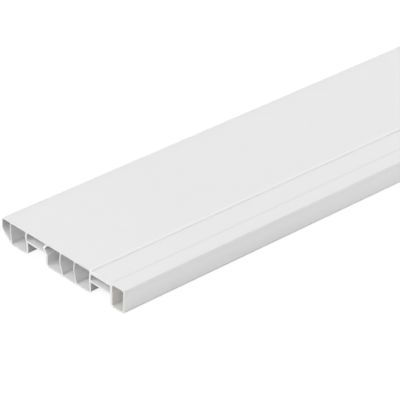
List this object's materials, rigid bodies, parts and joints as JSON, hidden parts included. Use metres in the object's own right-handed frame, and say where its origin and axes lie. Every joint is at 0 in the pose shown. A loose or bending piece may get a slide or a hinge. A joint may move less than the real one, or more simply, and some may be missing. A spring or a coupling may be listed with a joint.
{
  "type": "skirting board",
  "caption": "Hollow extruded skirting board with ribbed chambers and clip grooves along its back; it covers the foot of a wall or a row of cabinets.",
  "frame": {"origin": "centre of the board's length and height, on its back plane, where it lies on the floor", "axes": "+X along the board, away from the sawn end that the picture shows; +Y to the upper edge, the rounded one with the sloped back; +Z out of the face"},
  "size_m": [2.5, 0.1, 0.0145],
  "materials": {
    "white_pvc": "satin extruded surface with fine die lines, sawn ends"
  },
  "bodies": {
    "root": {"skirting_board": "white_pvc"}
  },
  "joints": []
}
